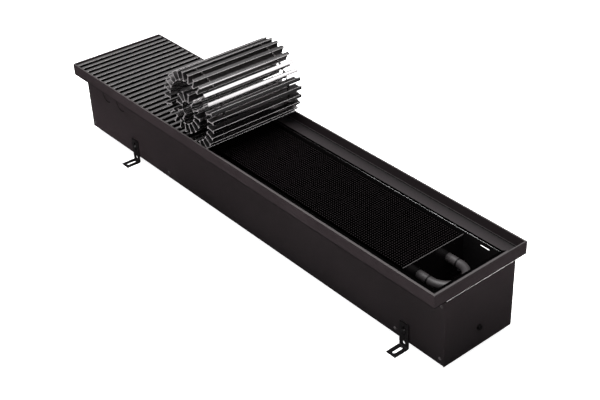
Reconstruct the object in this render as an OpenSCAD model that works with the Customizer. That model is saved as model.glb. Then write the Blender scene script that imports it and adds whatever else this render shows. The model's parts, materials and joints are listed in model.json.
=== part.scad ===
// Trench convector heater: a sheet steel trough sunk in the floor, a finned heat
// exchanger inside it, and a roll-up grille of I-shaped slats in a frame on top.
// X runs along the trough, -Y is the near long side, Z = 0 is the floor under the feet.

/* [Frame] */
// Length over the frame
frame_l = 1000; // [900:10:1400]
// Width over the frame
frame_w = 200; // [190:1:230]
// Height of the band around the outside
band_h = 23; // [22:0.5:28]
// Thickness of the band
band_t = 2.8; // [2:0.1:3.5]
// Thickness of the ledge that carries the grille
ledge_t = 1.4; // [1:0.1:2]
// Thickness of the lip that hooks into the trough
lip_t = 0.8; // [0.6:0.1:1.2]
// Height of that lip below the ledge
lip_h = 2; // [1.5:0.1:2.4]

/* [Trough] */
// Width over the trough's side walls
trough_w = 151; // [148:1:158]
// Height from the trough's underside to the top of the frame
trough_h = 149; // [140:1:180]
// Thickness of the trough's sheet
sheet_t = 1; // [0.8:0.1:1.5]
// Width of the flanges folded on the end walls
flange_w = 18; // [15:1:24]

/* [Feet] */
// Air gap between the trough and the floor
foot_rise = 12; // [10:1:20]
// Width of a foot bracket
foot_w = 20; // [18:1:28]
// Reach of a foot beyond the trough's wall
foot_reach = 30; // [28:1:36]
// Thickness of a foot bracket
foot_t = 2; // [1.5:0.1:3]
// Height of a foot bracket
foot_h = 48; // [44:1:54]
// Distance of the left feet from the left end
foot_left_x = 160; // [155:5:200]
// Distance of the right feet from the right end
foot_right_x = 85; // [70:5:85]
// Width of the slots in the feet
foot_slot_w = 6.5; // [5.5:0.1:7]
// Length of the slots in the feet
foot_slot_l = 20; // [16:1:21]

/* [Heat exchanger] */
// Distance of the exchanger from the left end
exchanger_left_x = 264; // [240:4:280]
// Distance of the exchanger from the right end
exchanger_right_x = 100; // [96:1:110]
// Width of the fins
fin_w = 131; // [124:1:142]
// Height of the fins
fin_h = 54; // [48:1:60]
// Depth of the fins' top below the top of the frame
fin_drop = 23; // [22:1:27]
// Spacing of the fins
fin_pitch = 5; // [3:0.5:6]
// Thickness of a fin
fin_t = 0.4; // [0.3:0.1:0.6]
// Outer diameter of the tubes
tube_d = 15; // [12:0.5:16]
// Wall of the tubes
tube_t = 0.8; // [0.6:0.1:1.2]
// Spacing of the two tubes
tube_gap = 64.4; // [56:0.1:72]

/* [Grille] */
// Height of a slat
slat_h = 17.8; // [16:0.1:19]
// Width of a slat's flanges
slat_flange_w = 6.8; // [5.5:0.1:7]
// Thickness of a slat's flanges
slat_flange_t = 1.5; // [1.2:0.1:2]
// Thickness of a slat's web
slat_web_t = 1.5; // [1:0.1:2]
// Spacing of the slats
slat_pitch = 16; // [15.5:0.1:16.5]
// Number of slats that are rolled up
roll_n = 37; // [30:1:37]
// Number of rolled slats that hinge one by one; the others lie in a firm coil
hinged_n = 12; // [8:1:13]
// Radius of the roll's outer turn, at the hinge wires
roll_outer_r = 69; // [66:0.5:72]
// Radius at which the roll's core starts, at the hinge wires
roll_core_r = 35; // [35:0.5:38]
// Tightening of the core from slat to slat
roll_core_step = 1; // [0.8:0.1:1]
// Diameter of the spacer sleeves between the slats
spacer_d = 5; // [4.5:0.1:8.5]
// Distance between the two rows of spacers
spacer_span = 140; // [110:1:144]
// Diameter of the spring wires that string the slats
wire_d = 2; // [1.6:0.1:2.4]

/* [Hidden] */
$fn = 48;
// play between pieces that move against each other
play = 0.3;
// play between pieces that are pressed or brazed together
seat = 0.05;
// overrun of every cut
over = 1;

// levels and places that several pieces share
slat_sink = 0.2;
top_z = foot_rise + trough_h;
ledge_z = top_z - slat_h - play - slat_sink;
ledge_low_z = ledge_z - ledge_t;
wall_y = trough_w / 2;
wall_in_y = wall_y - sheet_t;
ledge_w = frame_w / 2 - wall_in_y + seat + lip_t;
floor_z = foot_rise + sheet_t;
band_low_z = top_z - band_h;
mitre_gap = 0.1;
bend_r = 1.5;

// the bars that a rail is welded from, each with its lower outer corner and its size,
// measured inward from the band's outer face and up from the floor
rail_bars = [
    [[0, band_low_z], [band_t, band_h]],
    [[band_t + seat, ledge_low_z], [ledge_w - band_t - seat, ledge_t]],
    [[ledge_w - lip_t, ledge_low_z - lip_h], [lip_t, lip_h - seat]]
];
frame_colour = [0.2, 0.185, 0.19];
steel_colour = [0.72, 0.71, 0.7];
tube_colour = [0.3, 0.29, 0.29];
slat_colour = [0.78, 0.77, 0.77];

// a rail of the frame along X, its outer face at y = -out, cut by the mitre planes
module rail(out, len) {
    for (bar = rail_bars)
        translate([-len / 2, bar[0][0] - out, bar[0][1]])
            cube([len, bar[1][0], bar[1][1]]);
}
// the wedge that a side rail keeps, square to both mitre planes
module mitre_wedge(half_l, half_w, gap) {
    deep = ledge_w + over;
    translate([0, 0, band_low_z - over])
        linear_extrude(band_h + 2 * over)
            polygon([
                [gap - half_l - over, -half_w - over],
                [half_l + over - gap, -half_w - over],
                [half_l - deep - gap, -half_w + deep],
                [deep + gap - half_l, -half_w + deep]
            ]);
}
module mitred_rail(half_l, half_w) {
    intersection() {
        rail(half_w, 2 * half_l);
        mitre_wedge(half_l, half_w, mitre_gap / 2);
    }
}
module side_rail(side) {
    color(frame_colour)
        mirror([0, side, 0])
            mitred_rail(frame_l / 2, frame_w / 2);
}
module end_rail(side) {
    color(frame_colour)
        mirror([side, 0, 0])
            rotate([0, 0, 90])
                mitred_rail(frame_w / 2, frame_l / 2);
}

// plates under the ledge that tie each mitre together
key_l = 42;
key_t = 2;
module frame_corner_plates() {
    key_w = frame_w / 2 - wall_y - band_t - 2 * play;
    color(steel_colour)
        for (sx = [0, 1], sy = [0, 1])
            mirror([sx, 0, 0])
                mirror([0, sy, 0])
                    translate([frame_l / 2 - band_t - play - key_l, wall_y + play, ledge_low_z - key_t])
                        cube([key_l, key_w, key_t]);
}

// the knock-outs for the pipes, in the near wall
port_inset = 72;
port_step = 50;
port_x = [port_inset, port_inset + port_step];
port_r = 13.5;
port_slit = 0.25;
tube_z = top_z - fin_drop - fin_h / 2;
left_x = -frame_l / 2;
right_x = frame_l / 2;

// the rivets through the side walls: at the end walls' flanges and at the supports
rivet_r = 1.6;
rivet_head_r = 3;
rivet_head_t = 1;
rivet_inset = 9;
rivet_rise = 11;
rivet_drop = 37;
rivet_set_share = 0.8;
rivet_low_z = floor_z + rivet_rise;
rivet_high_z = top_z - rivet_drop;
support_rivet_in = 7;
exchanger_l0 = left_x + exchanger_left_x;
exchanger_r0 = right_x - exchanger_right_x;
rivet_places = concat(
    [for (x = [left_x + rivet_inset, right_x - rivet_inset], z = [rivet_low_z, rivet_high_z]) [x, z]],
    [[exchanger_l0 + support_rivet_in, rivet_low_z], [exchanger_r0 - support_rivet_in, rivet_low_z]]
);

// the bolts that hold the foot brackets
foot_xs = [left_x + foot_left_x, right_x - foot_right_x];
bolt_r = 2.5;
bolt_z = foot_h * 2 / 3;
bolt_head_r = 4.2;
bolt_head_t = 2.6;
bolt_crown_share = 0.8;

// the air slot in the far wall
air_slot_l = 19;
air_slot_h = 2;
air_slot_x = 62.5;
air_slot_drop = 34;

// a hole along Y through one side wall
module wall_hole(x, z, r) {
    translate([x, -wall_y - over, z])
        rotate([-90, 0, 0])
            cylinder(h = sheet_t + 2 * over, r = r);
}
// the trough's section: floor and two walls with bent corners
module trough_section() {
    out_r = bend_r + sheet_t;
    for (side = [0, 1])
        mirror([side, 0])
            difference() {
                translate([0, foot_rise])
                    square([wall_y, ledge_low_z - foot_rise]);
                translate([-over, floor_z])
                    square([wall_in_y - bend_r + over, ledge_low_z]);
                translate([wall_in_y - bend_r - over, floor_z + bend_r])
                    square([bend_r + over, ledge_low_z]);
                translate([wall_in_y - bend_r, floor_z + bend_r])
                    circle(bend_r);
                difference() {
                    translate([wall_y - out_r, foot_rise - over])
                        square([out_r + over, out_r + over]);
                    translate([wall_y - out_r, foot_rise + out_r])
                        circle(out_r);
                }
            }
}
module trough() {
    body_l = frame_l - 2 * sheet_t;
    color(frame_colour)
        difference() {
            translate([-body_l / 2, 0, 0])
                rotate([90, 0, 90])
                    linear_extrude(body_l)
                        trough_section();
            for (x = port_x)
                wall_hole(left_x + x, tube_z, port_r);
            for (side = [0, 1])
                mirror([0, side, 0]) {
                    for (at = rivet_places)
                        wall_hole(at[0], at[1], rivet_r + seat);
                    for (x = foot_xs)
                        wall_hole(x, bolt_z, bolt_r + play);
                }
            translate([right_x - air_slot_x - air_slot_l / 2, wall_in_y - over, top_z - air_slot_drop])
                cube([air_slot_l, sheet_t + 2 * over, air_slot_h]);
            // room for the bands of the end rails
            for (side = [0, 1])
                mirror([side, 0, 0])
                    translate([right_x - band_t - seat, -trough_w / 2 - over, band_low_z - seat])
                        cube([band_t + over, trough_w + 2 * over, band_h]);
        }
}

// an end wall: a plate with flanges folded in along its top, bottom and sides
plug_r = 4;
plug_rise = 36.5;
plug_z = foot_rise + plug_rise;
module end_wall() {
    side_z = band_low_z - floor_z;
    difference() {
        union() {
            translate([right_x - sheet_t, -wall_y, foot_rise])
                cube([sheet_t, trough_w, band_low_z - foot_rise]);
            translate([right_x - sheet_t - flange_w, -wall_in_y, band_low_z - sheet_t])
                cube([flange_w + sheet_t, 2 * wall_in_y, sheet_t]);
            translate([right_x - sheet_t - flange_w, -wall_in_y + bend_r, floor_z])
                cube([flange_w + sheet_t, 2 * (wall_in_y - bend_r), sheet_t]);
            for (side = [0, 1])
                mirror([0, side, 0])
                    translate([right_x - sheet_t - flange_w, -wall_in_y, floor_z + bend_r])
                        cube([flange_w + sheet_t, sheet_t, side_z - bend_r]);
        }
        for (side = [0, 1])
            mirror([0, side, 0])
                for (z = [rivet_low_z, rivet_high_z])
                    translate([right_x - rivet_inset, -wall_y - over, z])
                        rotate([-90, 0, 0])
                            cylinder(h = 2 * sheet_t + 2 * over, r = rivet_r + seat);
        translate([right_x - sheet_t - over, 0, plug_z])
            rotate([0, 90, 0])
                cylinder(h = sheet_t + 2 * over, r = plug_r + seat);
    }
}
module end_wall_on(side) {
    color(frame_colour)
        mirror([side, 0, 0])
            end_wall();
}

// round rubber plugs that close the hole in each end wall
plug_flange_r = 5.2;
plug_flange_t = 0.8;
plug_out = 3.5;
plug_in = 4;
module wall_plugs() {
    color([0.1, 0.1, 0.1])
        for (side = [0, 1])
            mirror([side, 0, 0])
                translate([right_x, 0, plug_z])
                    rotate([0, 90, 0]) {
                        translate([0, 0, -sheet_t - plug_in])
                            cylinder(h = sheet_t + plug_in, r = plug_r);
                        cylinder(h = plug_out, r = plug_r);
                        cylinder(h = plug_flange_t, r = plug_flange_r);
                    }
}

module knock_out_discs() {
    color(frame_colour)
        for (x = port_x)
            translate([left_x + x, -wall_y, tube_z])
                rotate([-90, 0, 0])
                    cylinder(h = sheet_t, r = port_r - port_slit);
}

// blind rivets: a domed head outside and a set head inside
module rivets() {
    grip = 2 * sheet_t;
    color(frame_colour)
        for (side = [0, 1])
            mirror([0, side, 0])
                for (at = rivet_places)
                    translate([at[0], -wall_y, at[1]])
                        rotate([-90, 0, 0]) {
                            translate([0, 0, -rivet_head_t])
                                cylinder(h = rivet_head_t, r1 = rivet_head_r / 2, r2 = rivet_head_r);
                            cylinder(h = grip + rivet_head_t, r = rivet_r);
                            translate([0, 0, grip])
                                cylinder(h = rivet_head_t, r = rivet_head_r * rivet_set_share);
                        }
}

// a foot: an angle with a slotted upright against the wall and a slotted toe on the floor
foot_slot_up_w = 5.6;
foot_slot_up_l = 16;
foot_hole_r = 3.35;
foot_hole_drop = 3;
foot_hole_z = foot_rise - foot_hole_drop;
// a slot along Y, cut through along Z
module slot(w, l, h) {
    linear_extrude(h)
        for (end = [-1, 1]) {
            translate([0, end * (l - w) / 2])
                circle(w / 2);
            translate([-w / 2, -(l - w) / 2])
                square([w, l - w]);
        }
}
module foot_bracket() {
    out_r = foot_t + foot_t / 2;
    in_r = foot_t / 2;
    difference() {
        translate([foot_w / 2, 0, 0])
            rotate([90, 0, -90])
                linear_extrude(foot_w)
                    difference() {
                        square([foot_reach, foot_h]);
                        translate([foot_t + in_r, foot_t])
                            square([foot_reach, foot_h]);
                        translate([foot_t, foot_t + in_r])
                            square([foot_reach, foot_h]);
                        translate([foot_t + in_r, foot_t + in_r])
                            circle(in_r);
                        difference() {
                            translate([-over, -over])
                                square([out_r + over, out_r + over]);
                            translate([out_r, out_r])
                                circle(out_r);
                        }
                    }
        translate([0, -foot_reach / 2, -over])
            slot(foot_slot_w, foot_slot_l, foot_t + 2 * over);
        translate([0, over, bolt_z + (foot_slot_up_l - 2 * bolt_head_r) / 4])
            rotate([90, 0, 0])
                slot(foot_slot_up_w, foot_slot_up_l, foot_t + 2 * over);
        translate([0, over, foot_hole_z])
            rotate([90, 0, 0])
                cylinder(h = foot_t + 2 * over, r = foot_hole_r);
    }
}
module at_feet() {
    for (side = [0, 1])
        mirror([0, side, 0])
            for (x = foot_xs)
                translate([x, -wall_y, 0])
                    children();
}
module foot_brackets() {
    color([0.12, 0.11, 0.115])
        at_feet()
            foot_bracket();
}
// pan-headed bolts through the slots, with hexagon nuts inside the trough
nut_r = 4.6;
nut_t = 4;
module foot_bolts() {
    color([0.14, 0.13, 0.135])
        at_feet()
            translate([0, -foot_t - bolt_head_t, bolt_z])
                rotate([-90, 0, 0]) {
                    cylinder(h = bolt_head_t, r1 = bolt_head_r * bolt_crown_share, r2 = bolt_head_r);
                    cylinder(h = bolt_head_t + foot_t + 2 * sheet_t + nut_t, r = bolt_r);
                }
}
module foot_nuts() {
    color(steel_colour)
        at_feet()
            translate([0, sheet_t, bolt_z])
                rotate([-90, 0, 0])
                    difference() {
                        cylinder(h = nut_t, r = nut_r, $fn = 6);
                        translate([0, 0, -over])
                            cylinder(h = nut_t + 2 * over, r = bolt_r + seat);
                    }
}

// the heat exchanger
tube_r = tube_d / 2;
tube_y = tube_gap / 2;
end_plate_t = 1.2;
support_t = 1.2;
plate_low = 18;
plate_rim = 1;
collar_t = 0.5;
fin_top_z = top_z - fin_drop;
fin_low_z = fin_top_z - fin_h;
pack_l0 = exchanger_l0 + end_plate_t;
pack_r0 = exchanger_r0 - end_plate_t;
fin_n = floor((pack_r0 - pack_l0 - 2 * support_t) / fin_pitch);
fin_x0 = (pack_l0 + pack_r0 - fin_n * fin_pitch - fin_t) / 2;

// fins pressed on two rows of collars that meet end to end
module fin_pack() {
    color([0.09, 0.085, 0.09])
        difference() {
            union() {
                for (i = [0:fin_n])
                    translate([fin_x0 + i * fin_pitch, -fin_w / 2, fin_low_z])
                        cube([fin_t, fin_w, fin_h]);
                for (side = [-1, 1])
                    translate([fin_x0, side * tube_y, tube_z])
                        rotate([0, 90, 0])
                            cylinder(h = fin_n * fin_pitch + fin_t, r = tube_r + seat + collar_t);
            }
            for (side = [-1, 1])
                translate([fin_x0 - over, side * tube_y, tube_z])
                    rotate([0, 90, 0])
                        cylinder(h = fin_n * fin_pitch + fin_t + 2 * over, r = tube_r + seat);
        }
}

// end plates of the exchanger, each screwed to the support below it
screw_r = 2;
screw_head_r = 3.5;
screw_head_t = 2;
screw_y = 58;
screw_z = fin_low_z - plate_low / 2;
module at_exchanger_ends() {
    translate([exchanger_r0, 0, 0])
        children();
    translate([exchanger_l0, 0, 0])
        mirror([1, 0, 0])
            children();
}
module exchanger_end_plates() {
    color(tube_colour)
        at_exchanger_ends()
            difference() {
                translate([-end_plate_t, -fin_w / 2, fin_low_z - plate_low])
                    cube([end_plate_t, fin_w, plate_low + fin_h + plate_rim]);
                for (side = [-1, 1]) {
                    translate([-end_plate_t - over, side * tube_y, tube_z])
                        rotate([0, 90, 0])
                            cylinder(h = end_plate_t + 2 * over, r = tube_r + seat);
                    translate([-end_plate_t - over, side * screw_y, screw_z])
                        rotate([0, 90, 0])
                            cylinder(h = end_plate_t + 2 * over, r = screw_r + seat);
                }
            }
}
// portal supports that stand on the trough's floor, riveted to its side walls
support_leg_w = 24;
support_beam_h = 22;
support_foot_l = 15;
module exchanger_supports() {
    support_h = fin_low_z - play - floor_z;
    half_w = wall_in_y - bend_r;
    color(frame_colour)
        at_exchanger_ends()
            translate([-end_plate_t - support_t, 0, 0])
                difference() {
                    union() {
                        translate([0, -half_w, floor_z])
                            cube([support_t, 2 * half_w, support_h]);
                        for (side = [0, 1])
                            mirror([0, side, 0]) {
                                translate([support_t - support_foot_l, -half_w, floor_z])
                                    cube([support_foot_l, support_leg_w, support_t]);
                                translate([support_t - support_foot_l, -wall_in_y, floor_z + bend_r])
                                    cube([support_foot_l, sheet_t, support_h / 2]);
                                translate([0, -wall_in_y, floor_z + bend_r])
                                    cube([support_t, bend_r + sheet_t, support_h / 2]);
                            }
                    }
                    translate([-over, support_leg_w - half_w, floor_z - over])
                        cube([support_t + 2 * over, 2 * (half_w - support_leg_w),
                              support_h - support_beam_h + over]);
                    for (side = [-1, 1])
                        translate([-over, side * screw_y, screw_z])
                            rotate([0, 90, 0])
                                cylinder(h = support_t + 2 * over, r = screw_r + seat);
                    for (side = [0, 1])
                        mirror([0, side, 0])
                            translate([end_plate_t + support_t - support_rivet_in, -wall_y, rivet_low_z])
                                rotate([-90, 0, 0])
                                    cylinder(h = 2 * sheet_t + over, r = rivet_r + seat);
                }
}
module exchanger_screws() {
    reach = end_plate_t + support_t + 2 * screw_r;
    color(steel_colour)
        at_exchanger_ends()
            for (side = [-1, 1])
                translate([0, side * screw_y, screw_z])
                    rotate([0, 90, 0]) {
                        cylinder(h = screw_head_t, r = screw_head_r);
                        translate([0, 0, -reach])
                            cylinder(h = reach + screw_head_t, r = screw_r);
                    }
}

// the water side: two tubes, a return bend at the right and two elbows at the left
stub_l = 23;
turn_r = 18;
tube_end_x = exchanger_r0 + stub_l;
// a tube section, hollow
module ring_section(r) {
    difference() {
        circle(r);
        circle(r - tube_t);
    }
}
// near tube first, then the far one, each ending above its knock-out
elbow_x = [left_x + port_x[1] + turn_r, left_x + port_x[0] + turn_r];
module exchanger_tubes() {
    color(tube_colour)
        for (i = [0, 1])
            translate([elbow_x[i], (2 * i - 1) * tube_y, tube_z])
                rotate([90, 0, 90])
                    linear_extrude(tube_end_x - elbow_x[i])
                        ring_section(tube_r);
}
bend_neck = 3;
module return_bend() {
    color(tube_colour)
        translate([tube_end_x, 0, tube_z]) {
            for (side = [-1, 1])
                translate([0, side * tube_y, 0])
                    rotate([90, 0, 90])
                        linear_extrude(bend_neck)
                            ring_section(tube_r);
            translate([bend_neck, 0, 0])
                rotate([0, 0, -90])
                    rotate_extrude(angle = 180, $fn = 96)
                        translate([tube_y, 0])
                            ring_section(tube_r);
        }
}
// elbows that turn the tubes towards the near wall
socket_l = 16;
socket_gap = 2.4;
socket_y = socket_gap + socket_l - wall_in_y;
module connection_elbows() {
    color(tube_colour)
        for (i = [0, 1])
            translate([elbow_x[i], (2 * i - 1) * tube_y, tube_z]) {
                translate([0, -turn_r, 0])
                    rotate([0, 0, 90])
                        rotate_extrude(angle = 90)
                            translate([turn_r, 0])
                                ring_section(tube_r);
                run = (2 * i - 1) * tube_y - turn_r - socket_y;
                translate([-turn_r, -turn_r, 0])
                    rotate([90, 0, 0])
                        linear_extrude(run)
                            ring_section(tube_r);
            }
}
// threaded sockets that face the knock-outs
thread_r = 9.3;
thread_l = 12;
socket_r = 12.5;
// each is a hexagon with a straight thread, brazed to a neck that holds the tube
module connection_sockets() {
    neck_l = socket_l - thread_l - seat;
    color([0.72, 0.6, 0.35])
        for (x = port_x)
            translate([left_x + x, socket_y, tube_z])
                rotate([90, 0, 0]) {
                    translate([0, 0, socket_l - thread_l])
                        difference() {
                            cylinder(h = thread_l, r = socket_r, $fn = 6);
                            translate([0, 0, -over])
                                cylinder(h = thread_l + 2 * over, r = thread_r);
                        }
                    difference() {
                        translate([0, 0, -socket_l / 2])
                            cylinder(h = socket_l / 2 + neck_l, r = socket_r * cos(30));
                        translate([0, 0, -socket_l / 2 - over])
                            cylinder(h = socket_l / 2 + over, r = tube_r + seat);
                        cylinder(h = neck_l + over, r = tube_r - tube_t);
                    }
                }
}
// brazed collars over the joints between the tubes and their bends
collar_l = 2.5;
module tube_collars() {
    joints = concat(
        [for (side = [-1, 1]) [tube_end_x, side * tube_y]],
        [for (i = [0, 1]) [elbow_x[i], (2 * i - 1) * tube_y]]
    );
    color([0.2, 0.19, 0.19])
        for (at = joints)
            translate([at[0] < 0 ? at[0] : at[0] - collar_l, at[1], tube_z])
                rotate([0, 90, 0])
                    difference() {
                        cylinder(h = collar_l, r = tube_r + seat + collar_t);
                        translate([0, 0, -over])
                            cylinder(h = collar_l + 2 * over, r = tube_r + seat);
                    }
}

// the air vent: a saddle on the far tube with a bleed screw in it
vent_x = 190;
vent_r = 5.5;
vent_h = 9;
vent_screw_r = 2.4;
vent_screw_l = 6;
vent_seat = 4;
vent_key = 1.2;
vent_key_d = 1.5;
vent_top_z = tube_z + tube_r + vent_h;
module air_vent_body() {
    color([0.72, 0.6, 0.35])
        difference() {
            translate([left_x + vent_x, tube_y, tube_z + tube_r / 2])
                cylinder(h = vent_h + tube_r / 2, r = vent_r);
            translate([left_x + vent_x - 2 * vent_r, tube_y, tube_z])
                rotate([0, 90, 0])
                    cylinder(h = 4 * vent_r, r = tube_r + seat);
            translate([left_x + vent_x, tube_y, vent_top_z - vent_seat])
                cylinder(h = vent_seat + over, r = vent_screw_r + seat);
        }
}
module air_vent_screw() {
    color([0.8, 0.7, 0.45])
        difference() {
            translate([left_x + vent_x, tube_y, vent_top_z - vent_seat + play])
                cylinder(h = vent_screw_l, r = vent_screw_r);
            translate([left_x + vent_x - vent_r, tube_y - vent_key / 2,
                       vent_top_z - vent_seat + play + vent_screw_l - vent_key_d])
                cube([2 * vent_r, vent_key, vent_key_d + over]);
        }
}

// the grille: slats strung on two spring wires, the last of them rolled up
slat_end_play = 0.7;
slat_l = frame_w - 2 * band_t - 2 * slat_end_play;
slat_n = floor((frame_l - 2 * (band_t + slat_end_play) - slat_flange_w) / slat_pitch) + 1;
flat_n = slat_n - roll_n;
slat_x0 = -(slat_n - 1) * slat_pitch / 2;
slat_low_z = ledge_z + play;
half_pitch = slat_pitch / 2;
half_web = slat_web_t / 2;
sleeve_colour = [0.3, 0.29, 0.29];
wire_r = wire_d / 2;
spacer_r = spacer_d / 2;
bead_r = wire_r + play;
hinge_play = bead_r + play;
// height of the hinge wires above the slat's underside, with the spacers clear of its flange
pivot_up = slat_flange_t + play + spacer_r;
pivot_z = slat_low_z + pivot_up;
wire_hole_r = wire_r + play;
spacer_bore_r = wire_r + play;

// the turn from each slat to the next, outer turn first, then middle turn, then core
outer_turn = 265;
middle_turn = 180;
layer_gap = 1.2;
roll_middle_r = roll_outer_r - slat_h - layer_gap;
function turn_at(r) = 2 * asin(slat_pitch / (2 * r));
outer_n = floor(outer_turn / turn_at(roll_outer_r));
middle_n = floor(middle_turn / turn_at(roll_middle_r));
function roll_r(i) =
    i < outer_n ? roll_outer_r :
    i < outer_n + middle_n ? roll_middle_r :
    roll_core_r - roll_core_step * (i - outer_n - middle_n);
function tilt(i) = i < 0 ? 0 : tilt(i - 1) + turn_at(roll_r(i));
hinge_x0 = slat_x0 + (flat_n - 0.5) * slat_pitch;
function hinge_at(i) =
    i == 0 ? [hinge_x0, pivot_z] :
    hinge_at(i - 1) + slat_pitch * [cos(tilt(i - 1)), sin(tilt(i - 1))];
echo(hinges = [for (i = [0:roll_n - 1]) [hinge_at(i), turn_at(roll_r(i))]]);

// one slat, its middle at x = 0 and the hinge wires at z = 0
module slat() {
    difference() {
        translate([0, slat_l / 2, -pivot_up])
            rotate([90, 0, 0])
                linear_extrude(slat_l)
                    for (part = [
                        [slat_flange_w, slat_flange_t, 0],
                        [slat_web_t, slat_h, 0],
                        [slat_flange_w, slat_flange_t, slat_h - slat_flange_t]
                    ])
                        translate([-part[0] / 2, part[2]])
                            square([part[0], part[1]]);
        for (side = [-1, 1])
            translate([-slat_web_t / 2 - over, side * spacer_span / 2, 0])
                rotate([0, 90, 0])
                    cylinder(h = slat_web_t + 2 * over, r = wire_hole_r);
    }
}
module flat_slats() {
    color(slat_colour)
        for (i = [0:flat_n - 1])
            translate([slat_x0 + i * slat_pitch, 0, pivot_z])
                slat();
}
// a cylinder along X in both rows of spacers
module along(x0, x1, r) {
    for (side = [-1, 1])
        translate([x0, side * spacer_span / 2, 0])
            rotate([0, 90, 0])
                cylinder(h = x1 - x0, r = r);
}
module flat_spacers() {
    color(sleeve_colour)
        for (i = [0:flat_n - 1])
            translate([slat_x0 + i * slat_pitch, 0, pivot_z])
                difference() {
                    far_x = i < flat_n - 1 ? slat_pitch - half_web : slat_pitch / 2 - hinge_play;
                    along(half_web, far_x, spacer_r);
                    along(half_web - over, far_x + over, spacer_bore_r);
                }
}
module bead() {
    for (side = [-1, 1])
        translate([0, side * spacer_span / 2, 0])
            sphere(bead_r);
}
module flat_wires() {
    color([0.6, 0.6, 0.6])
        translate([0, 0, pivot_z]) {
            along(slat_x0 - slat_pitch / 4, hinge_x0, wire_r);
            translate([hinge_x0, 0, 0])
                bead();
        }
}
// a link of the roll is drawn from its hinge, with its slat in the middle
wire_stub = slat_web_t;
module at_link(i) {
    translate([hinge_at(i)[0], 0, hinge_at(i)[1]])
        rotate([0, -tilt(i), 0])
            children();
}
// the two sleeves of a link in each row, clear of the slat's web by gap
module sleeves(gap, r) {
    along(hinge_play, half_pitch - half_web - gap, r);
    along(half_pitch + half_web + gap, slat_pitch - hinge_play, r);
}
// a hinged slat, and the wire and sleeves of each row, up to the bead of the next hinge
module roll_slat(i) {
    at_link(i) {
        color(slat_colour)
            translate([half_pitch, 0, 0])
                slat();
        color(sleeve_colour) {
            sleeves(seat, spacer_r);
            along(half_pitch - half_web - wire_stub, slat_pitch, wire_r);
            translate([slat_pitch, 0, 0])
                bead();
        }
    }
}
module coil_slats() {
    color(slat_colour)
        for (i = [hinged_n:roll_n - 1])
            at_link(i)
                translate([half_pitch, 0, 0])
                    slat();
}
module coil_spacers() {
    color(sleeve_colour)
        for (i = [hinged_n:roll_n - 1])
            at_link(i)
                difference() {
                    sleeves(0, spacer_r);
                    along(hinge_play - over, slat_pitch - hinge_play + over, spacer_bore_r);
                }
}
// the wires of the coil, straight inside each link and parted where they bend
wire_part = wire_r / 2;
module coil_wires() {
    color([0.6, 0.6, 0.6])
        for (i = [hinged_n:roll_n - 1])
            at_link(i) {
                from_x = i == hinged_n ? hinge_play : wire_part;
                along(from_x, i < roll_n - 1 ? slat_pitch - wire_part : half_pitch + wire_stub, wire_r);
            }
}

ROLL_NODES = [for (i = [1:hinged_n]) str("roll_slat_", i < 10 ? "0" : "", i)];

trough();
end_wall_on(0);  // end_wall_right
end_wall_on(1);  // end_wall_left
side_rail(0);  // frame_rail_near
side_rail(1);  // frame_rail_far
end_rail(0);  // frame_rail_right
end_rail(1);  // frame_rail_left
frame_corner_plates();
wall_plugs();
knock_out_discs();
rivets();
foot_brackets();
foot_bolts();
foot_nuts();
fin_pack();
exchanger_end_plates();
exchanger_supports();
exchanger_screws();
exchanger_tubes();
return_bend();
connection_elbows();
connection_sockets();
tube_collars();
air_vent_body();
air_vent_screw();
flat_slats();
flat_spacers();
flat_wires();
coil_slats();
coil_spacers();
coil_wires();
for (i = [0:hinged_n - 1])
    roll_slat(i);
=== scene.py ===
import json
import math

import bpy
from mathutils import Matrix, Vector


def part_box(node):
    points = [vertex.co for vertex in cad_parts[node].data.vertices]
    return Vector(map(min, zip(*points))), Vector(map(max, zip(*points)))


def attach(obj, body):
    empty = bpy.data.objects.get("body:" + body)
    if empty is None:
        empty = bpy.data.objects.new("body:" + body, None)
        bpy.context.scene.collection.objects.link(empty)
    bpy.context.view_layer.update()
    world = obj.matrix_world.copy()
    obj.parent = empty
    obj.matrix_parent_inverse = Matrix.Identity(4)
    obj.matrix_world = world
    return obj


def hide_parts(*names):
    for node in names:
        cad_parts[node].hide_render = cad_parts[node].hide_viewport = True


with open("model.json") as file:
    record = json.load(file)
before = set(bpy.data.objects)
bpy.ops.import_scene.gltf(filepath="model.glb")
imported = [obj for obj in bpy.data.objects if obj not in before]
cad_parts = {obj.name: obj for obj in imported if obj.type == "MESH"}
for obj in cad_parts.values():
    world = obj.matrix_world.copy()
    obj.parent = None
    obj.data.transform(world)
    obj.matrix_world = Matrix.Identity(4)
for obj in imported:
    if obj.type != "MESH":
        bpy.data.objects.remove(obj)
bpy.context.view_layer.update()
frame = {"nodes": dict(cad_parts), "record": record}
nodes = frame["nodes"]
mm = 0.001

# The camera stands where the photograph was taken from: right of the trough and above it.
view = {
    "place": (1.40054, -1.04004, 1.18637),
    "azimuth": 47.703,      # degrees from -Y towards +X
    "elevation": 33.132,
    "roll": 0.295,
    "focal": 1156.15,       # pixels, in a picture 600 wide
    "centre": (371.44, 192.56),     # pixel that the lens points at
    "picture": (600, 400),
    "sensor": 36.0,         # mm
    "farthest": 60,         # metres
}


def aim(azimuth, elevation, roll):
    flat = math.cos(elevation)
    ahead = Vector((-math.sin(azimuth) * flat, math.cos(azimuth) * flat, -math.sin(elevation)))
    side = ahead.cross(Vector((0, 0, 1))).normalized()
    down = ahead.cross(side)
    right = math.cos(roll) * side + math.sin(roll) * down
    under = -math.sin(roll) * side + math.cos(roll) * down
    return Matrix((right, -under, -ahead)).transposed()


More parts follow.
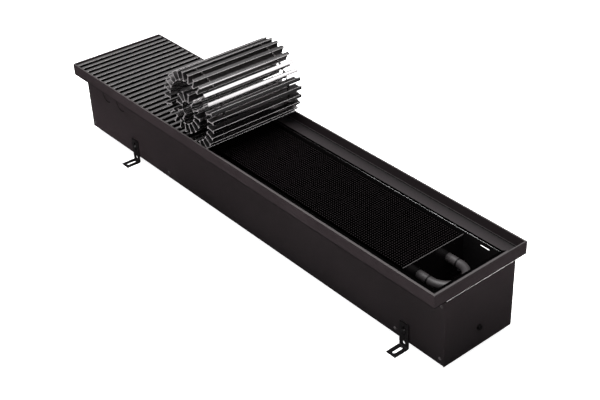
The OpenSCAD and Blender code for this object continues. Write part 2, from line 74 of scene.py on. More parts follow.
def makeCamera():
    wide, high = view["picture"]
    lens = bpy.data.cameras.new("viewLens")
    lens.sensor_width = view["sensor"]
    lens.lens = view["focal"] / wide * view["sensor"]
    lens.shift_x = (wide / 2 - view["centre"][0]) / wide
    lens.shift_y = (view["centre"][1] - high / 2) / wide
    lens.clip_end = view["farthest"]
    camera = bpy.data.objects.new("viewCamera", lens)
    turn = aim(*(math.radians(view[k]) for k in ("azimuth", "elevation", "roll")))
    camera.matrix_world = Matrix.Translation(view["place"]) @ turn.to_4x4()
    bpy.context.scene.collection.objects.link(camera)
    bpy.context.scene.camera = camera


makeCamera()
print("camera placed")


# One socket of a node tree. Arithmetic on it adds Math nodes.
class Wire:
    def __init__(self, tree, socket):
        self.tree = tree
        self.socket = socket

    def math(self, kind, first, second):
        return self.tree.add("ShaderNodeMath", {"operation": kind}, {0: first, 1: second})

    def __add__(self, other):
        return self.math("ADD", self, other)

    def __radd__(self, other):
        return self.math("ADD", other, self)

    def __sub__(self, other):
        return self.math("SUBTRACT", self, other)

    def __rsub__(self, other):
        return self.math("SUBTRACT", other, self)

    def __mul__(self, other):
        return self.math("MULTIPLY", self, other)

    def __rmul__(self, other):
        return self.math("MULTIPLY", other, self)

    def __gt__(self, other):
        return self.math("GREATER_THAN", self, other)

    def __lt__(self, other):
        return self.math("LESS_THAN", self, other)

    def __abs__(self):
        return self.math("ABSOLUTE", self, 0)


# A node tree under construction, of a material or of the world.
class Tree:
    def __init__(self, owner, shaderType):
        owner.use_nodes = True
        self.nodeTree = owner.node_tree
        self.shader = next(n for n in self.nodeTree.nodes if n.type == shaderType)

    def add(self, kind, settings, sockets, out=0):
        node = self.nodeTree.nodes.new(kind)
        for key, value in settings.items():
            if key == "stops":
                self.setStops(node.color_ramp, value)
            else:
                setattr(node, key, value)
        for key, value in sockets.items():
            self.feed(node.inputs[key], value)
        return Wire(self, node.outputs[out])

    # a stop's shade is a grey or a colour
    def setStops(self, ramp, stops):
        while len(ramp.elements) < len(stops):
            ramp.elements.new(0.5)
        for element, (at, shade) in zip(ramp.elements, stops):
            colour = (shade,) * 3 if isinstance(shade, (int, float)) else shade
            element.position = at
            element.color = (*colour, 1)

    def feed(self, socket, value):
        if isinstance(value, Wire):
            self.nodeTree.links.new(value.socket, socket)
        elif socket.type == "RGBA":
            socket.default_value = (*value[:3], 1)
        else:
            socket.default_value = value

    def ramp(self, value, stops):
        return self.add("ShaderNodeValToRGB", {"stops": stops}, {"Fac": value})


# A material: its tree, and the Principled shader that it feeds.
class Finish(Tree):
    def __init__(self, name):
        self.material = bpy.data.materials.new(name)
        super().__init__(self.material, "BSDF_PRINCIPLED")
        self.place = self.add("ShaderNodeTexCoord", {}, {}, "Object")

    def set(self, **values):
        for name, value in values.items():
            self.feed(self.shader.inputs[socketNames[name]], value)
        return self.material

    # noise in the object's own metres; stretch gives how much finer it is along each axis
    def noise(self, scale, detail, roughness=0.5, stretch=(1, 1, 1)):
        where = self.add("ShaderNodeVectorMath", {"operation": "MULTIPLY"}, {0: self.place, 1: stretch})
        return self.add("ShaderNodeTexNoise", {}, {
            "Vector": where, "Scale": scale, "Detail": detail, "Roughness": roughness})

    def mix(self, mask, first, second):
        return self.add("ShaderNodeMix", {"data_type": "RGBA"}, {0: mask, 6: first, 7: second}, 2)

    def bump(self, height, strength, distance):
        return self.add("ShaderNodeBump", {}, {
            "Height": height, "Strength": strength, "Distance": distance})

    # how far a value is from start to end, 0 to 1
    def share(self, value, start, end):
        return self.add("ShaderNodeMapRange", {}, {"Value": value, "From Min": start, "From Max": end})

    # one coordinate, in the object's own metres
    def along(self, axis):
        return self.add("ShaderNodeSeparateXYZ", {}, {0: self.place}, axis)

    # one part of the surface's own direction
    def facing(self, axis):
        normal = self.add("ShaderNodeTexCoord", {}, {}, "Normal")
        return self.add("ShaderNodeSeparateXYZ", {}, {0: normal}, axis)

    def facesUp(self):
        return self.facing("Z") > 0.5


socketNames = {
    "colour": "Base Color", "roughness": "Roughness", "metallic": "Metallic", "normal": "Normal",
    "gloss": "Specular IOR Level", "glow": "Emission Strength", "glowColour": "Emission Color",
}

blackPaint = (0.0206, 0.0139, 0.0159)
powder = (blackPaint, 0.5, 0.25, 0.3)       # with its roughness, grain and gloss
aluminium = (0.78, 0.755, 0.76)
sawnAluminium = (0.34, 0.32, 0.325)
fullBlack = (0, 0, 0)

# the frame's outer faces and its ledge's inner edge, in mm from the middle of the heater
frameHalf = {"length": 500.0, "width": 100.0, "ledge": 73.9}


def tint(colour, share):
    return [c * share for c in colour]


# Fine-textured black powder coat, a little warm
coatGrain = {
    "cloud": (9, 3), "cloudStops": ((0.35, 0.0), (0.65, 1.0)), "dark": 0.9, "light": 1.12,
    "cloudRough": 0.08, "speck": (2600, 2, 0.6), "speckRough": 0.1, "bump": 0.0002,
}


def blackCoat(name, colour, roughness, grain, gloss, dress=None):
    f = Finish(name)
    cloud = f.noise(*coatGrain["cloud"])
    speck = f.noise(*coatGrain["speck"])
    shade = f.mix(f.ramp(cloud, coatGrain["cloudStops"]),
                  tint(colour, coatGrain["dark"]), tint(colour, coatGrain["light"]))
    if dress:
        shade = dress(f, shade)
    uneven = coatGrain["cloudRough"] * (cloud - 0.5) + coatGrain["speckRough"] * (speck - 0.5)
    f.set(gloss=gloss)
    return f.set(
        colour=shade,
        roughness=roughness + uneven,
        normal=f.bump(speck, grain, coatGrain["bump"]),
    )


# A metallic surface of no colour gives back no light at all.
def blackOut(f, mask, shade):
    f.set(metallic=mask)
    return f.mix(mask, shade, fullBlack)


# The trough. Its outside is painted darker towards the floor as shade, and its inside is painted a dull
# black as shade.
inner = {
    "halfLength": 499.2, "halfWidth": 75.2, "colour": (0.0023, 0.0017, 0.002),
    "shadeByHeight": ((0.0, 0.0), (0.03, 0.28), (0.07, 0.52), (0.135, 0.8)),     # by height in metres
    # how far the painted shade is lifted at the left end, and towards the far side
    "left": ((0.0, 1.0), (0.13, 0.85), (0.26, 0.35), (0.4, 0.0)), "far": ((0.0, 0.0), (0.075, 0.4)),
}
# the rings of its two knock-outs: their score lines are painted black only at the lower left, as the shade
# that falls in the groove there
score = {"at": (-428.0, -378.0), "height": 111.0, "radius": 14.6, "width": 2.2, "below": 0.3}


def dressTrough(f, shade):
    low = f.ramp(f.along("Z"), inner["shadeByHeight"])
    fromLeft = f.along("X") + frameHalf["length"] * mm
    relief = f.ramp(fromLeft, inner["left"]) + f.ramp(f.along("Y"), inner["far"])
    low = low + (1 - low) * relief
    # painted shade, darker towards the floor
    shade = f.mix(low, inner["colour"], shade)
    # the score lines are painted black as shade, only at their lower left
    scoreShadeMask = (shadedScoreRing(f, score["at"][0]) + shadedScoreRing(f, score["at"][1])) * (f.along("Y") < 0)
    shade = blackOut(f, scoreShadeMask, shade)
    # the trough's inside is painted near black as shade
    inside = (abs(f.along("Y")) < inner["halfWidth"] * mm) * (abs(f.along("X")) < inner["halfLength"] * mm)
    return f.mix(inside, shade, inner["colour"])


def shadedScoreRing(f, x):
    centre = (x * mm, 0, score["height"] * mm)
    flat = f.add("ShaderNodeVectorMath", {"operation": "MULTIPLY"}, {0: f.place, 1: (1, 0, 1)})
    away = f.add("ShaderNodeVectorMath", {"operation": "DISTANCE"}, {0: flat, 1: centre}, "Value")
    ring = abs(away - score["radius"] * mm) < 0.5 * score["width"] * mm
    edge = x + score["height"] - score["below"] * score["radius"]
    return ring * (f.along("X") + f.along("Z") < edge * mm)


# Every rail. Its upward faces carry painted light from above: the ledge is painted lighter towards its inner
# edge, fading to painted shade by the upstand, and the band's top edge is painted light. The band's lower
# edge is a painted shadow line.
railLightAndShade = {
    "bandAbove": 155.0, "band": (0.046, 0.041, 0.042), "outer": 97.0,
    "ledge": ((0.0, (0.0175, 0.0145, 0.0155)), (0.5, (0.011, 0.0085, 0.0095)), (0.8, (0.006, 0.0045, 0.005)),
              (1.0, (0.0005, 0.0004, 0.0004))),
}
bandShadow = {"below": 139.6, "colour": (0.002, 0.0015, 0.0017)}


def dressRail(f, shade):
    ledge = f.share(abs(f.along("Y")), frameHalf["ledge"] * mm, railLightAndShade["outer"] * mm)
    upper = f.mix(f.along("Z") > railLightAndShade["bandAbove"] * mm, f.ramp(ledge, railLightAndShade["ledge"]), railLightAndShade["band"])
    # upward faces: painted light, the ledge fading to painted shade at the upstand
    shade = f.mix(f.facesUp(), shade, upper)
    # the band's lowest edge: a painted shadow line
    return f.mix(f.along("Z") < bandShadow["below"] * mm, shade, bandShadow["colour"])


# The far rail's upstand is painted darker as shade, with a thin painted highlight where it meets the ledge.
# The lip under the ledge is painted black as shade, and so is the ledge's outer corner.
upstand = {
    "colour": (0.0125, 0.0085, 0.0097), "line": (0.07, 0.063, 0.065), "lineBelow": 144.4,
    "cornerFrom": 95.6, "cornerBelow": 146.0, "lip": 1.0,
}


def dressFarRail(f, shade):
    shade = dressRail(f, shade)
    inward = f.facing("Y") < -0.5
    # the upstand's inward face is painted dark as shade, with a painted highlight line at its foot
    face = f.mix(f.along("Z") < upstand["lineBelow"] * mm, upstand["colour"], upstand["line"])
    shade = f.mix(inward, shade, face)
    lip = inward * (f.along("Y") < (frameHalf["ledge"] + upstand["lip"]) * mm)
    corner = (f.along("Y") > upstand["cornerFrom"] * mm) * (f.along("Z") < upstand["cornerBelow"] * mm)
    # the lip and the ledge's outer corner are painted black as shade
    return blackOut(f, lip + corner * f.facesUp(), shade)


# The near and end ledges are painted as light as their bands' tops, as light from above, and their inner
# edges are painted black as shade. darkFrom is counted from the rail's outer face.
ledgeShade = {"darkFrom": 21.1}


def darkEdge(f, shade, edge):
    # upward ledge faces are painted as light as the band's top, as light from above
    shade = f.mix(f.facesUp() * (f.along("Z") < railLightAndShade["bandAbove"] * mm), shade, railLightAndShade["band"])
    # the ledge's inner edge is painted black as shade
    return blackOut(f, edge * (f.along("Z") < railLightAndShade["bandAbove"] * mm), shade)


def dressNearRail(f, shade):
    return darkEdge(f, dressRail(f, shade), f.along("Y") > (ledgeShade["darkFrom"] - frameHalf["width"]) * mm)


# The outer edge of an end rail's top is painted dark as shade, as if it were rounded off and caught no
# light.
endEdgeShade = {"from": 499.0, "colour": (0.004, 0.0034, 0.0036)}


def dressEndRail(f, shade):
    reach = abs(f.along("X"))
    shade = darkEdge(f, dressRail(f, shade), reach < (frameHalf["length"] - ledgeShade["darkFrom"]) * mm)
    # a painted dark line of shade along the rail's outer top edge
    return f.mix((reach > endEdgeShade["from"] * mm) * f.facesUp(), shade, endEdgeShade["colour"])


# The hem's painted highlight is strongest at the right and fades into a coat colour towards the left.
hemHighlight = {
    "from": -150.0, "to": 470.0, "stops": ((0.0, 0.0), (0.4, 0.12), (0.55, 0.75), (1.0, 1.0)),
    "coat": tint(blackPaint, 1.5),
}


def dressHem(f, shade):
    length = f.share(f.along("X"), hemHighlight["from"] * mm, hemHighlight["to"] * mm)
    return f.mix(f.ramp(length, hemHighlight["stops"]), hemHighlight["coat"], shade)


# The top face of the exchanger's end plate is painted lighter, as a painted highlight where it catches light
# from above.
plateTopHighlight = {"colour": (0.06, 0.056, 0.057)}


def dressPlate(f, shade):
    # upward faces of the plate: a painted highlight
    return f.mix(f.facesUp(), shade, plateTopHighlight["colour"])


# Extruded aluminium: fine lines along the slat, slow changes of tone, and dull sawn ends.
slatGrain = {
    "lines": (700, 3, 0.6, (1, 0.012, 1)), "lineRough": 0.08, "lineBump": (0.1, 0.0001),
    "cloud": (14, 2, 0.5, (1, 0.25, 1)), "cloudStops": ((0.3, 0.0), (0.7, 1.0)), "cloudRough": 0.05,
    "dark": 0.9, "sawnRough": 0.35, "sawnMetallic": 0.45,
}


def slatMetal(name, colour, roughness):
    f = Finish(name)
    lines = f.noise(*slatGrain["lines"])
    cloud = f.noise(*slatGrain["cloud"])
    sawn = abs(f.facing("Y")) > 0.7
    drawn = f.mix(f.ramp(cloud, slatGrain["cloudStops"]), tint(colour, slatGrain["dark"]), colour)
    uneven = slatGrain["lineRough"] * (lines - 0.5) + slatGrain["cloudRough"] * (cloud - 0.5)
    return f.set(
        colour=f.mix(sawn, drawn, sawnAluminium),
        metallic=1 - (1 - slatGrain["sawnMetallic"]) * sawn,
        roughness=roughness + uneven + slatGrain["sawnRough"] * sawn,
        normal=f.bump(lines, *slatGrain["lineBump"]),
    )


# Plain metal, turned or drawn, a little cloudy
metalGrain = {
    "detail": (4, 0.6), "stops": ((0.35, 0.0), (0.65, 1.0)), "dark": 0.8, "rough": 0.14,
    "bump": (0.08, 0.0001),
}


def plainMetal(name, colour, roughness, scale):
    f = Finish(name)
    cloud = f.noise(scale, *metalGrain["detail"])
    f.set(metallic=1.0)
    return f.set(
        colour=f.mix(f.ramp(cloud, metalGrain["stops"]), tint(colour, metalGrain["dark"]), colour),
        roughness=roughness + metalGrain["rough"] * (cloud - 0.5),
        normal=f.bump(cloud, *metalGrain["bump"]),
    )


# Colour and roughness, then a coat's grain and gloss, or the scale of a metal's clouds.
coats = {
    "black_coat": blackCoat("blackPowderCoat", *powder),
    "trough_coat": blackCoat("troughCoat", *powder, dressTrough),
    "near_rail_coat": blackCoat("nearRailCoat", *powder, dressNearRail),
    "far_rail_coat": blackCoat("farRailCoat", *powder, dressFarRail),
    "end_rail_coat": blackCoat("endRailCoat", *powder, dressEndRail),
    "black_bracket": blackCoat("bracketCoat", (0.005, 0.0042, 0.0045), 0.42, 0.12, 0.22),
    "black_bolt": blackCoat("boltBlack", (0.005, 0.0045, 0.0047), 0.35, 0.1, 0.3),
    "black_rubber": blackCoat("plugRubber", (0.0015, 0.0012, 0.0013), 0.5, 0.1, 0.12),
    # the fins are black, darkened to almost nothing and without gloss as painted shade deep in the trough;
    # their tabs are painted lighter, as light from above
    "black_fins": blackCoat("finShadeBlack", (0.0003, 0.0002, 0.0002), 0.8, 0.05, 0.0),
    "lit_fin_tabs": blackCoat("tabLitBlack", (0.0078, 0.0060, 0.0066), 0.6, 0.05, 0.05),
    "dark_plate": blackCoat("plateCoat", (0.003, 0.0024, 0.0027), 0.16, 0.04, 0.5, dressPlate),
    "dark_tube": blackCoat("tubeCoat", (0.023, 0.0205, 0.0215), 0.5, 0.1, 0.32),
    "dark_collar": blackCoat("collarCoat", (0.0010, 0.0008, 0.0009), 0.5, 0.1, 0.15),
    "slat_aluminium": slatMetal("slatAluminium", aluminium, 0.16),
    # darker copies of the slat aluminium, painted as shade in the slats' recesses, darker still on the flat
    # slats
    "slat_recess_shade": slatMetal("slatRecessShade", (0.17, 0.16, 0.163), 0.34),
    "shaded_recess": slatMetal("shadedRecess", (0.06, 0.056, 0.057), 0.4),
    "spacer_steel": plainMetal("spacerSteel", (0.06, 0.056, 0.056), 0.5, 300),
    "wire_steel": plainMetal("wireSteel", (0.45, 0.44, 0.44), 0.3, 300),
    "zinc_steel": plainMetal("zincSteel", (0.55, 0.55, 0.54), 0.36, 260),
    "rivet_head": blackCoat("rivetHead", (0.032, 0.028, 0.029), 0.3, 0.1, 0.5),
    # near-white coats that paint the highlights on the sheet's bends
    "edge_highlight": blackCoat("edgeHighlight", (0.85, 0.83, 0.83), 0.4, 0.1, 0.5),
    "hem_highlight": blackCoat("hemHighlightCoat", (0.85, 0.85, 0.86), 0.4, 0.1, 0.3, dressHem),
    "brass": plainMetal("turnedBrass", (0.62, 0.45, 0.2), 0.3, 260),
}

# nodes whose finish says more than their slot does
dressed = {
    "trough": "trough_coat", "end_wall_right": "trough_coat", "end_wall_left": "trough_coat",
    "frame_rail_near": "near_rail_coat", "frame_rail_far": "far_rail_coat",
    "frame_rail_right": "end_rail_coat", "frame_rail_left": "end_rail_coat", "rivets": "rivet_head",
}
slotOf = {part["node"]: part["material_slot"] for part in frame["record"]["subparts"]}
for name, piece in nodes.items():
    piece.data.materials.clear()
    piece.data.materials.append(coats[dressed.get(name, slotOf[name])])
print("finishes on", len(nodes), "nodes")


# A mesh under construction. A face may carry the direction of the true surface at each corner.
class Shape:
    def __init__(self):
        self.points = []
        self.faces = []
        self.normals = []
        self.slots = []

    def face(self, corners, normals=None, slot=0):
        start = len(self.points)
        self.points.extend(corners)
        self.faces.append(range(start, start + len(corners)))
        if normals is None:
            flat = (corners[1] - corners[0]).cross(corners[2] - corners[1]).normalized()
            normals = [flat] * len(corners)
        self.normals.extend(normals)
        self.slots.append(slot)

    # The finished piece rides on a body, and may stand for CAD nodes.
    def finish(self, name, body, slotNames, *stands):
        mesh = bpy.data.meshes.new(name)
        mesh.from_pydata([p * mm for p in self.points], [], self.faces)
        for slotName in slotNames:
            mesh.materials.append(coats[slotName])
        mesh.polygons.foreach_set("material_index", self.slots)
        mesh.polygons.foreach_set("use_smooth", [True] * len(self.faces))
        mesh.normals_split_custom_set(self.normals)
        piece = bpy.data.objects.new(name, mesh)
        bpy.context.scene.collection.objects.link(piece)
        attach(piece, body)
        if stands:
            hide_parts(*stands)


# An outline with its corners rounded: points (x, z) with the surface's direction at each.
def rounded(corners, steps):
    outline = []
    count = len(corners)
    for i, (x, z, radius) in enumerate(corners):
        here = Vector((x, z))
        before = (Vector(corners[i - 1][:2]) - here).normalized()
        after = (Vector(corners[(i + 1) % count][:2]) - here).normalized()
        turn = before.x * after.y - before.y * after.x    # negative at a convex corner
        middle = here + radius * (before + after)
        bulge = 1 if turn < 0 else -1
        for k in range(steps + 1):
            a = math.pi / 2 * k / steps
            out = -math.sin(a) * before - math.cos(a) * after
            outline.append((middle + radius * out, bulge * out))
    return outline


# A profile turned about the X axis of a link: points (x, radius) with the slope's direction.
def lathe(shape, profile, matrix, sides, slot):
    spin = matrix.to_3x3()
    for (x0, r0, n0), (x1, r1, n1) in zip(profile, profile[1:]):
        for k in range(sides):
            corners, normals = [], []
            for x, r, n, j in ((x0, r0, n0, k), (x1, r1, n1, k), (x1, r1, n1, k + 1), (x0, r0, n0, k + 1)):
                a = 2 * math.pi * j / sides
                corners.append(matrix @ Vector((x, r * math.cos(a), r * math.sin(a))))
                normals.append(spin @ Vector((n[0], n[1] * math.cos(a), n[1] * math.sin(a))))
            shape.face(corners[::-1], normals[::-1], slot)


# The grille's slats: I-sections with rounded flanges. Lengths in mm.
slats = {
    "pitch": 16.0, "flat": 25, "rolled": 37, "hinged": 12,
    "height": 17.8, "flangeWidth": 6.8, "flange": 1.5, "web": 1.5,
    "edgeRadius": 0.62, "filletRadius": 0.6, "arcSteps": 4,
    "crown": 4.0,           # degrees that the outer faces fall off at their edges
    "length": 193.0,
    "underside": 143.0,     # of a flat slat, above the floor
    "pivotUp": 4.3,         # from a slat's underside to the wires
    "outerTurn": 265.0, "middleTurn": 180.0,    # degrees
    "outerRadius": 69.0, "layerGap": 1.2, "coreRadius": 35.0, "coreStep": 1.0,
}
# The spacers between the rolled slats, with the wire and the bead at each hinge line.
sleeves = {
    "radius": 2.5, "chamfer": 0.3, "wire": 1.0, "bead": 1.3, "beadArc": range(-50, 91, 20),
    "span": 140.0, "hingeGap": 1.6, "webGap": 0.05, "sides": 14,
}
roundOff = 1e-5         # what equal numbers may differ by in single precision


def slatOutline():
    low = -slats["pivotUp"]
    high = low + slats["height"]
    wide, web = slats["flangeWidth"] / 2, slats["web"] / 2
    edge, fillet = slats["edgeRadius"], slats["filletRadius"]
    half = [(wide, low, edge), (wide, low + slats["flange"], edge), (web, low + slats["flange"], fillet),
            (web, high - slats["flange"], fillet), (wide, high - slats["flange"], edge), (wide, high, edge)]
    outline = rounded(half + [(-x, z, r) for x, z, r in reversed(half)], slats["arcSteps"])
    return [(p, crowned(p, n) if min(p.y - low, high - p.y) < roundOff else n) for p, n in outline]


# the flanges' outer faces are a little crowned
def crowned(point, normal):
    if abs(normal.x) > roundOff:
        return normal
    tilt = math.copysign(math.radians(slats["crown"]), point.x)
    return Vector((math.sin(tilt), math.copysign(math.cos(tilt), normal.y)))


# The web and the flanges' inner faces take the second material: a darker aluminium, painted as the shade in
# the recess.
def addSlat(shape, matrix, outline):
    reach = slats["length"] / 2
    low = 0.5 * slats["flange"] - slats["pivotUp"]
    high = slats["height"] - slats["pivotUp"] - 0.5 * slats["flange"]
    spin = matrix.to_3x3()
    for (a, na), (b, nb) in zip(outline, outline[1:] + outline[:1]):
        middle = (a + b) / 2
        recess = low < middle.y < high and abs(middle.x) < slats["flangeWidth"] / 2 - slats["edgeRadius"]
        shape.face(
            [matrix @ Vector((p.x, y, p.y)) for p, y in ((a, -reach), (a, reach), (b, reach), (b, -reach))],
            [spin @ Vector((n.x, 0, n.y)) for n in (na, na, nb, nb)], 1 if recess else 0)
    for side in (-1, 1):
        ring = outline if side < 0 else outline[::-1]
        shape.face([matrix @ Vector((p.x, side * reach, p.y)) for p, n in ring],
                   [spin @ Vector((0, side, 0))] * len(ring))


# the pose of each link: its slat's middle, and how far it is turned
def linkPoses():
    def turnAt(radius):
        return 2 * math.asin(slats["pitch"] / (2 * radius))

    outer = slats["outerRadius"]
    middle = outer - slats["height"] - slats["layerGap"]
    outerCount = int(math.radians(slats["outerTurn"]) / turnAt(outer))
    middleCount = int(math.radians(slats["middleTurn"]) / turnAt(middle))
    total = slats["flat"] + slats["rolled"]
    firstX = -(total - 1) * slats["pitch"] / 2
    height = slats["underside"] + slats["pivotUp"]
    poses = [(firstX + i * slats["pitch"], height, 0.0) for i in range(slats["flat"])]
    x, z, turn = firstX + (slats["flat"] - 0.5) * slats["pitch"], height, 0.0
    for i in range(slats["rolled"]):
        if i < outerCount:
            radius = outer
        elif i < outerCount + middleCount:
            radius = middle
        else:
            radius = slats["coreRadius"] - slats["coreStep"] * (i - outerCount - middleCount)
        turn += turnAt(radius)
        step = slats["pitch"] / 2
        poses.append((x + step * math.cos(turn), z + step * math.sin(turn), turn))
        x += 2 * step * math.cos(turn)
        z += 2 * step * math.sin(turn)
    return [Matrix.Translation((x, 0, z)) @ Matrix.Rotation(-turn, 4, "Y") for x, z, turn in poses]


# sleeves on both sides of a slat, then the wire and the bead that the next link turns on
def addSleeves(shape, matrix, slot):
    half, web = slats["pitch"] / 2, slats["web"] / 2 + sleeves["webGap"]
    r, wire, bead, chamfer = (sleeves[k] for k in ("radius", "wire", "bead", "chamfer"))
    end = half - sleeves["hingeGap"]
    arc = [(half + bead * math.sin(a), bead * math.cos(a), (math.sin(a), math.cos(a)))
           for a in map(math.radians, sleeves["beadArc"])]
    runs = [
        [(-end, wire, (-1, 0)), (-end, r - chamfer, (-1, 0))],
        [(-end, r - chamfer, (-0.7, 0.7)), (chamfer - end, r, (-0.7, 0.7))],
        [(chamfer - end, r, (0, 1)), (-web, r, (0, 1))],
        [(web, r, (0, 1)), (end - chamfer, r, (0, 1))],
        [(end - chamfer, r, (0.7, 0.7)), (end, r - chamfer, (0.7, 0.7))],
        [(end, r - chamfer, (1, 0)), (end, wire, (1, 0))],
        [(end, wire, (0, 1)), (half, wire, (0, 1))],
        arc,
    ]
    for side in (-1, 1):
        row = matrix @ Matrix.Translation((0, side * sleeves["span"] / 2, 0))
        for run in runs:
            lathe(shape, run, row, sleeves["sides"], slot)


def makeGrille():
    outline = slatOutline()
    poses = linkPoses()
    flat, hinged = slats["flat"], slats["hinged"]
    shape = Shape()
    for matrix in poses[:flat]:
        addSlat(shape, matrix, outline)
    shape.finish("flatSlats", "grille", ["slat_aluminium", "shaded_recess"], "flat_slats")
    for i, matrix in enumerate(poses[flat:flat + hinged], 1):
        shape = Shape()
        addSlat(shape, matrix, outline)
        addSleeves(shape, matrix, 2)
        body = f"roll_slat_{i:02d}"
        shape.finish(f"rolledSlat{i:02d}", body, ["slat_aluminium", "slat_recess_shade", "spacer_steel"], body)
    shape = Shape()
    for matrix in poses[flat + hinged:]:
        addSlat(shape, matrix, outline)
    shape.finish("coilSlats", "coil", ["slat_aluminium", "slat_recess_shade"], "coil_slats")


makeGrille()
print("grille made")


# The fins are thin sheets. Small tabs bent over their top edges keep them apart, and
# show from above as rows of dots, painted lighter than the fins as light from above. Lengths in mm.
fins = {
    "pitch": 5.0,           # along X
    "thickness": 0.4,
    "tabStep": 4.6,         # along Y
    "tab": (2.4, 1.5, 0.35),    # along Y, along X, thickness
    "fold": 0.5,
}


def addBlock(shape, low, high):
    a, b = Vector(low), Vector(high)
    at = [Vector((x, y, z)) for z in (a.z, b.z) for x, y in ((a.x, a.y), (b.x, a.y), (b.x, b.y), (a.x, b.y))]
    for corners in ((3, 2, 1, 0), (4, 5, 6, 7), (0, 1, 5, 4), (1, 2, 6, 5), (2, 3, 7, 6), (3, 0, 4, 7)):
        shape.face([at[c] for c in corners])


# a tab that starts at a fin's face, at the height of its top
def addTab(shape, root, middle, top):
    longY, longX, thick = fins["tab"]
    near, far, tip = middle - longY / 2, middle + longY / 2, root + longX
    crown = [Vector(p) for p in (
        (root, near, top), (tip, near + fins["fold"], top - fins["fold"]),
        (tip, far - fins["fold"], top - fins["fold"]), (root, far, top))]
    under = [Vector((p.x, p.y, p.z - thick)) for p in crown]
    sides = [[under[k], under[k + 1], crown[k + 1], crown[k]] for k in range(3)]
    for corners in [crown] + sides:
        # the tabs take the lighter finish, painted as light from above
        shape.face(corners, slot=1)


def makeFins():
    low, high = (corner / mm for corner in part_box("fin_pack"))
    last = int(round((high.x - low.x - fins["thickness"]) / fins["pitch"]))
    tabs = int((high.y - low.y - fins["tab"][0]) / fins["tabStep"])
    first = (low.y + high.y - tabs * fins["tabStep"]) / 2
    shape = Shape()
    for row in range(last + 1):
        x = low.x + row * fins["pitch"]
        addBlock(shape, (x, low.y, low.z), (x + fins["thickness"], high.y, high.z))
        if row < last:
            for k in range(tabs + 1):
                addTab(shape, x + fins["thickness"], first + k * fins["tabStep"], high.z)
    shape.finish("tabbedFins", "casing", ["black_fins", "lit_fin_tabs"], "fin_pack")


makeFins()
print("fins made")

# The water tube runs through the fins, round the return bend and back. Lengths in mm.
tube = {
    "radius": 7.5, "height": 111.0, "gap": 64.4, "bendX": 426.0, "nearX": -360.0, "farX": -410.0,
    "sides": 28, "bendSteps": 28,
}


def makeTube():
    half = tube["gap"] / 2
    path = [(Vector((tube["nearX"], -half, 0)), Vector((1, 0, 0)))]
    for k in range(tube["bendSteps"] + 1):
        a = math.pi * k / tube["bendSteps"]
        path.append((Vector((tube["bendX"] + half * math.sin(a), -half * math.cos(a), 0)),
                     Vector((math.cos(a), math.sin(a), 0))))
    path.append((Vector((tube["farX"], half, 0)), Vector((-1, 0, 0))))
    up = Vector((0, 0, 1))
    rings = []
    for middle, ahead in path:
        side = up.cross(ahead)
        ring = []
        for k in range(tube["sides"]):
            a = 2 * math.pi * k / tube["sides"]
            out = math.cos(a) * side + math.sin(a) * up
            ring.append((middle + tube["radius"] * out + tube["height"] * up, out))
        rings.append(ring)
    shape = Shape()
    for a, b in zip(rings, rings[1:]):
        for k in range(tube["sides"]):
            n = (k + 1) % tube["sides"]
            loop = (a[k], a[n], b[n], b[k])
            shape.face([p for p, out in loop], [out for p, out in loop])
    shape.finish("waterTube", "casing", ["dark_tube"], "exchanger_tubes", "return_bend")


makeTube()
print("tube made")

# Painted highlights on the sheet's bends: near-white beads along the top of each end wall, and along the hem
# under the ledges.
# Each is a thin round bead, narrower at its tips. Lengths in mm.
bendHighlights = {
    "endSeam": {"height": 138.0, "radius": 0.27, "halfLength": 75.2, "at": 500.0},
    "hem": {"height": 137.6, "radius": 0.27, "halfLength": 472.0, "at": 74.4},
    "bead": {"sides": 8, "lead": 0.6, "tip": 0.3},
}


def makeBead(name, start, end, radius, slotName):
    sides, lead, tip = (bendHighlights["bead"][k] for k in ("sides", "lead", "tip"))
    axis = (end - start).normalized()
    across = axis.cross(Vector((0, 0, 1)))
    up = across.cross(axis)
    outs = [math.cos(a) * across + math.sin(a) * up
            for a in (2 * math.pi * k / sides for k in range(sides + 1))]
    shape = Shape()
    stations = [(start, tip), (start + lead * axis, 1), (end - lead * axis, 1), (end, tip)]
    for (a, ra), (b, rb) in zip(stations, stations[1:]):
        for out, nextOut in zip(outs, outs[1:]):
            corners = [a + radius * ra * out, b + radius * rb * out,
                       b + radius * rb * nextOut, a + radius * ra * nextOut]
            shape.face(corners, [out, out, nextOut, nextOut])
    for at, way in ((start, -1), (end, 1)):
        ring = [at + radius * tip * out for out in outs[:sides]]
        shape.face(ring[::way])
    shape.finish(name, "casing", [slotName])


def makeEdges():
    seam, hem = bendHighlights["endSeam"], bendHighlights["hem"]
    for name, side in (("endSeamRight", 1), ("endSeamLeft", -1)):
        x = side * (seam["at"] - 0.5 * seam["radius"])
        start, end = (Vector((x, way * seam["halfLength"], seam["height"])) for way in (-1, 1))
        # the end wall's top edge: a painted highlight
        makeBead(name, start, end, seam["radius"], "edge_highlight")
    for name, side in (("hemNear", -1), ("hemFar", 1)):
        y = side * (hem["at"] - 0.5 * hem["radius"])
        start, end = (Vector((way * hem["halfLength"], y, hem["height"])) for way in (-1, 1))
        # the hem under the ledge: a painted highlight
        makeBead(name, start, end, hem["radius"], "hem_highlight")


makeEdges()
print("edges made")

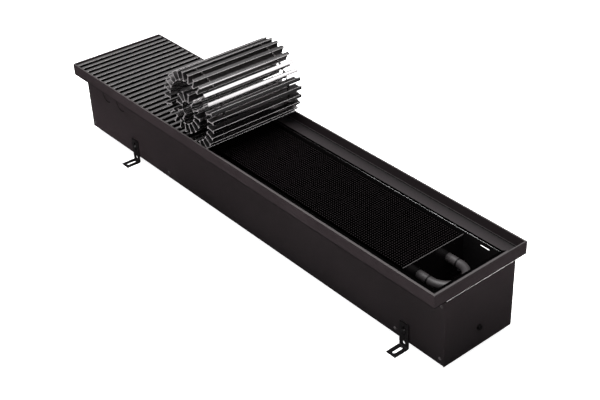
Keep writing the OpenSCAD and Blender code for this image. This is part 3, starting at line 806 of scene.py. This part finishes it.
# A pale floor and plain soft lights: one overhead, one at the right behind the trough,
# whose reflection draws the bright bands on the rolled slats, one at the left behind it,
# one at the right in front for the end wall and one at the left in front for the long side.
studio = {
    "floor": {"half": 14, "colour": (0.78, 0.78, 0.78), "roughness": 0.8, "gloss": 0.1},
    "floorGlow": 0.92,      # it is lit from below too, as a light table
    "sky": ((0.0, 0.03), (0.5, 0.03), (0.63, 0.1), (1.0, 0.11)),
    "lights": {
        "top": {"place": (0.1, -0.35, 3.4), "size": (3.0, 2.6), "power": 305, "target": (0.1, 0, 0)},
        "right": {
            "place": (1.58, 1.54, 2.08), "size": (1.45, 2.36), "power": 15, "target": (-0.1, 0.02, 0.17),
        },
        "left": {"place": (-1.95, 1.75, 1.36), "size": (3.0, 0.75), "power": 0.75, "target": (0, 0, 0.2)},
        "front": {"place": (2.6, -1.7, 1.1), "size": (1.3, 1.2), "power": 12.5, "target": (0.3, 0, 0.1)},
        "side": {"place": (-1.0, -2.6, 1.2), "size": (2.6, 1.2), "power": 22, "target": (-0.3, 0, 0.1)},
    },
}


def softBox(name, place, size, power, target):
    light = bpy.data.lights.new(name, "AREA")
    light.shape = "RECTANGLE"
    light.size, light.size_y = size
    light.energy = power
    lamp = bpy.data.objects.new(name, light)
    lamp.matrix_world = Matrix.Translation(place) @ (
        Vector(target) - Vector(place)).to_track_quat("-Z", "Y").to_matrix().to_4x4()
    bpy.context.scene.collection.objects.link(lamp)


# the sky is darker below the horizon, where only glossy surfaces would see it
def makeSky():
    world = bpy.data.worlds.new("studioSky")
    sky = Tree(world, "BACKGROUND")
    where = sky.add("ShaderNodeTexCoord", {}, {}, "Generated")
    height = sky.add("ShaderNodeSeparateXYZ", {}, {0: where}, 2)
    sky.feed(sky.shader.inputs["Color"], sky.ramp(height * 0.5 + 0.5, studio["sky"]))
    bpy.context.scene.world = world


def makeFloor(half, **look):
    mesh = bpy.data.meshes.new("floor")
    corners = [(-half, -half, 0), (half, -half, 0), (half, half, 0), (-half, half, 0)]
    mesh.from_pydata(corners, [], [(0, 1, 2, 3)])
    mesh.materials.append(Finish("paleFloor").set(glow=studio["floorGlow"], glowColour=(1, 1, 1), **look))
    floor = bpy.data.objects.new("floor", mesh)
    bpy.context.scene.collection.objects.link(floor)
    floor.visible_glossy = False


makeFloor(**studio["floor"])
for name, light in studio["lights"].items():
    softBox(name + "Softbox", **light)
makeSky()
bpy.context.scene.view_settings.view_transform = "Standard"
print("studio lit")
